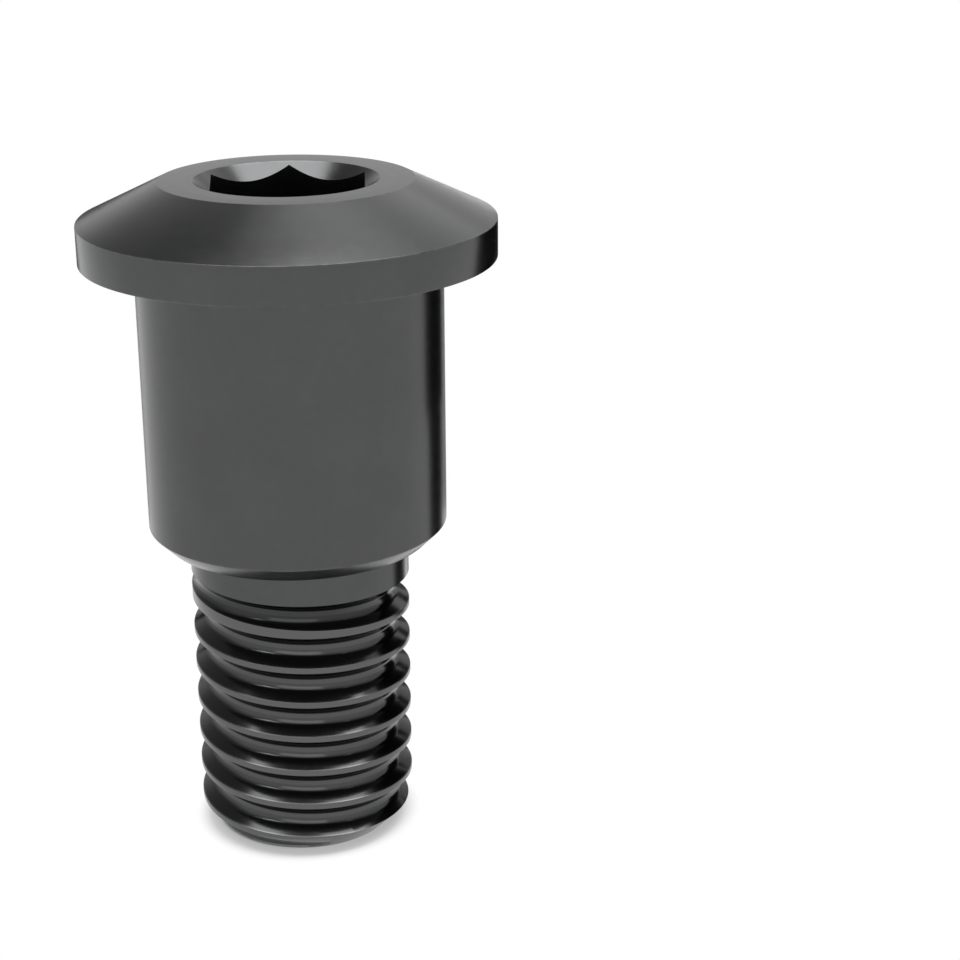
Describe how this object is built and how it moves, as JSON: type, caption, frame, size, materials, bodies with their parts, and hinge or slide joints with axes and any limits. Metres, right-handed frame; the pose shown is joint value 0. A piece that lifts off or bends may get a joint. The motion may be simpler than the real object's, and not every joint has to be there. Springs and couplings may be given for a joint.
{
  "type": "shoulder screw",
  "caption": "Shoulder screw with a low conical head, a hex socket, a plain cylindrical shoulder and a left-hand threaded end.",
  "frame": {"origin": "centre of the flat end face of the thread, on the screw's axis", "axes": "+Z along the screw's axis from the threaded end to the head; +Y through one corner of the hex socket"},
  "size_m": [0.0108, 0.0108, 0.0181],
  "materials": {
    "blackened_steel": "satin black oxide"
  },
  "bodies": {
    "root": {"shoulder_screw": "blackened_steel"}
  },
  "joints": []
}
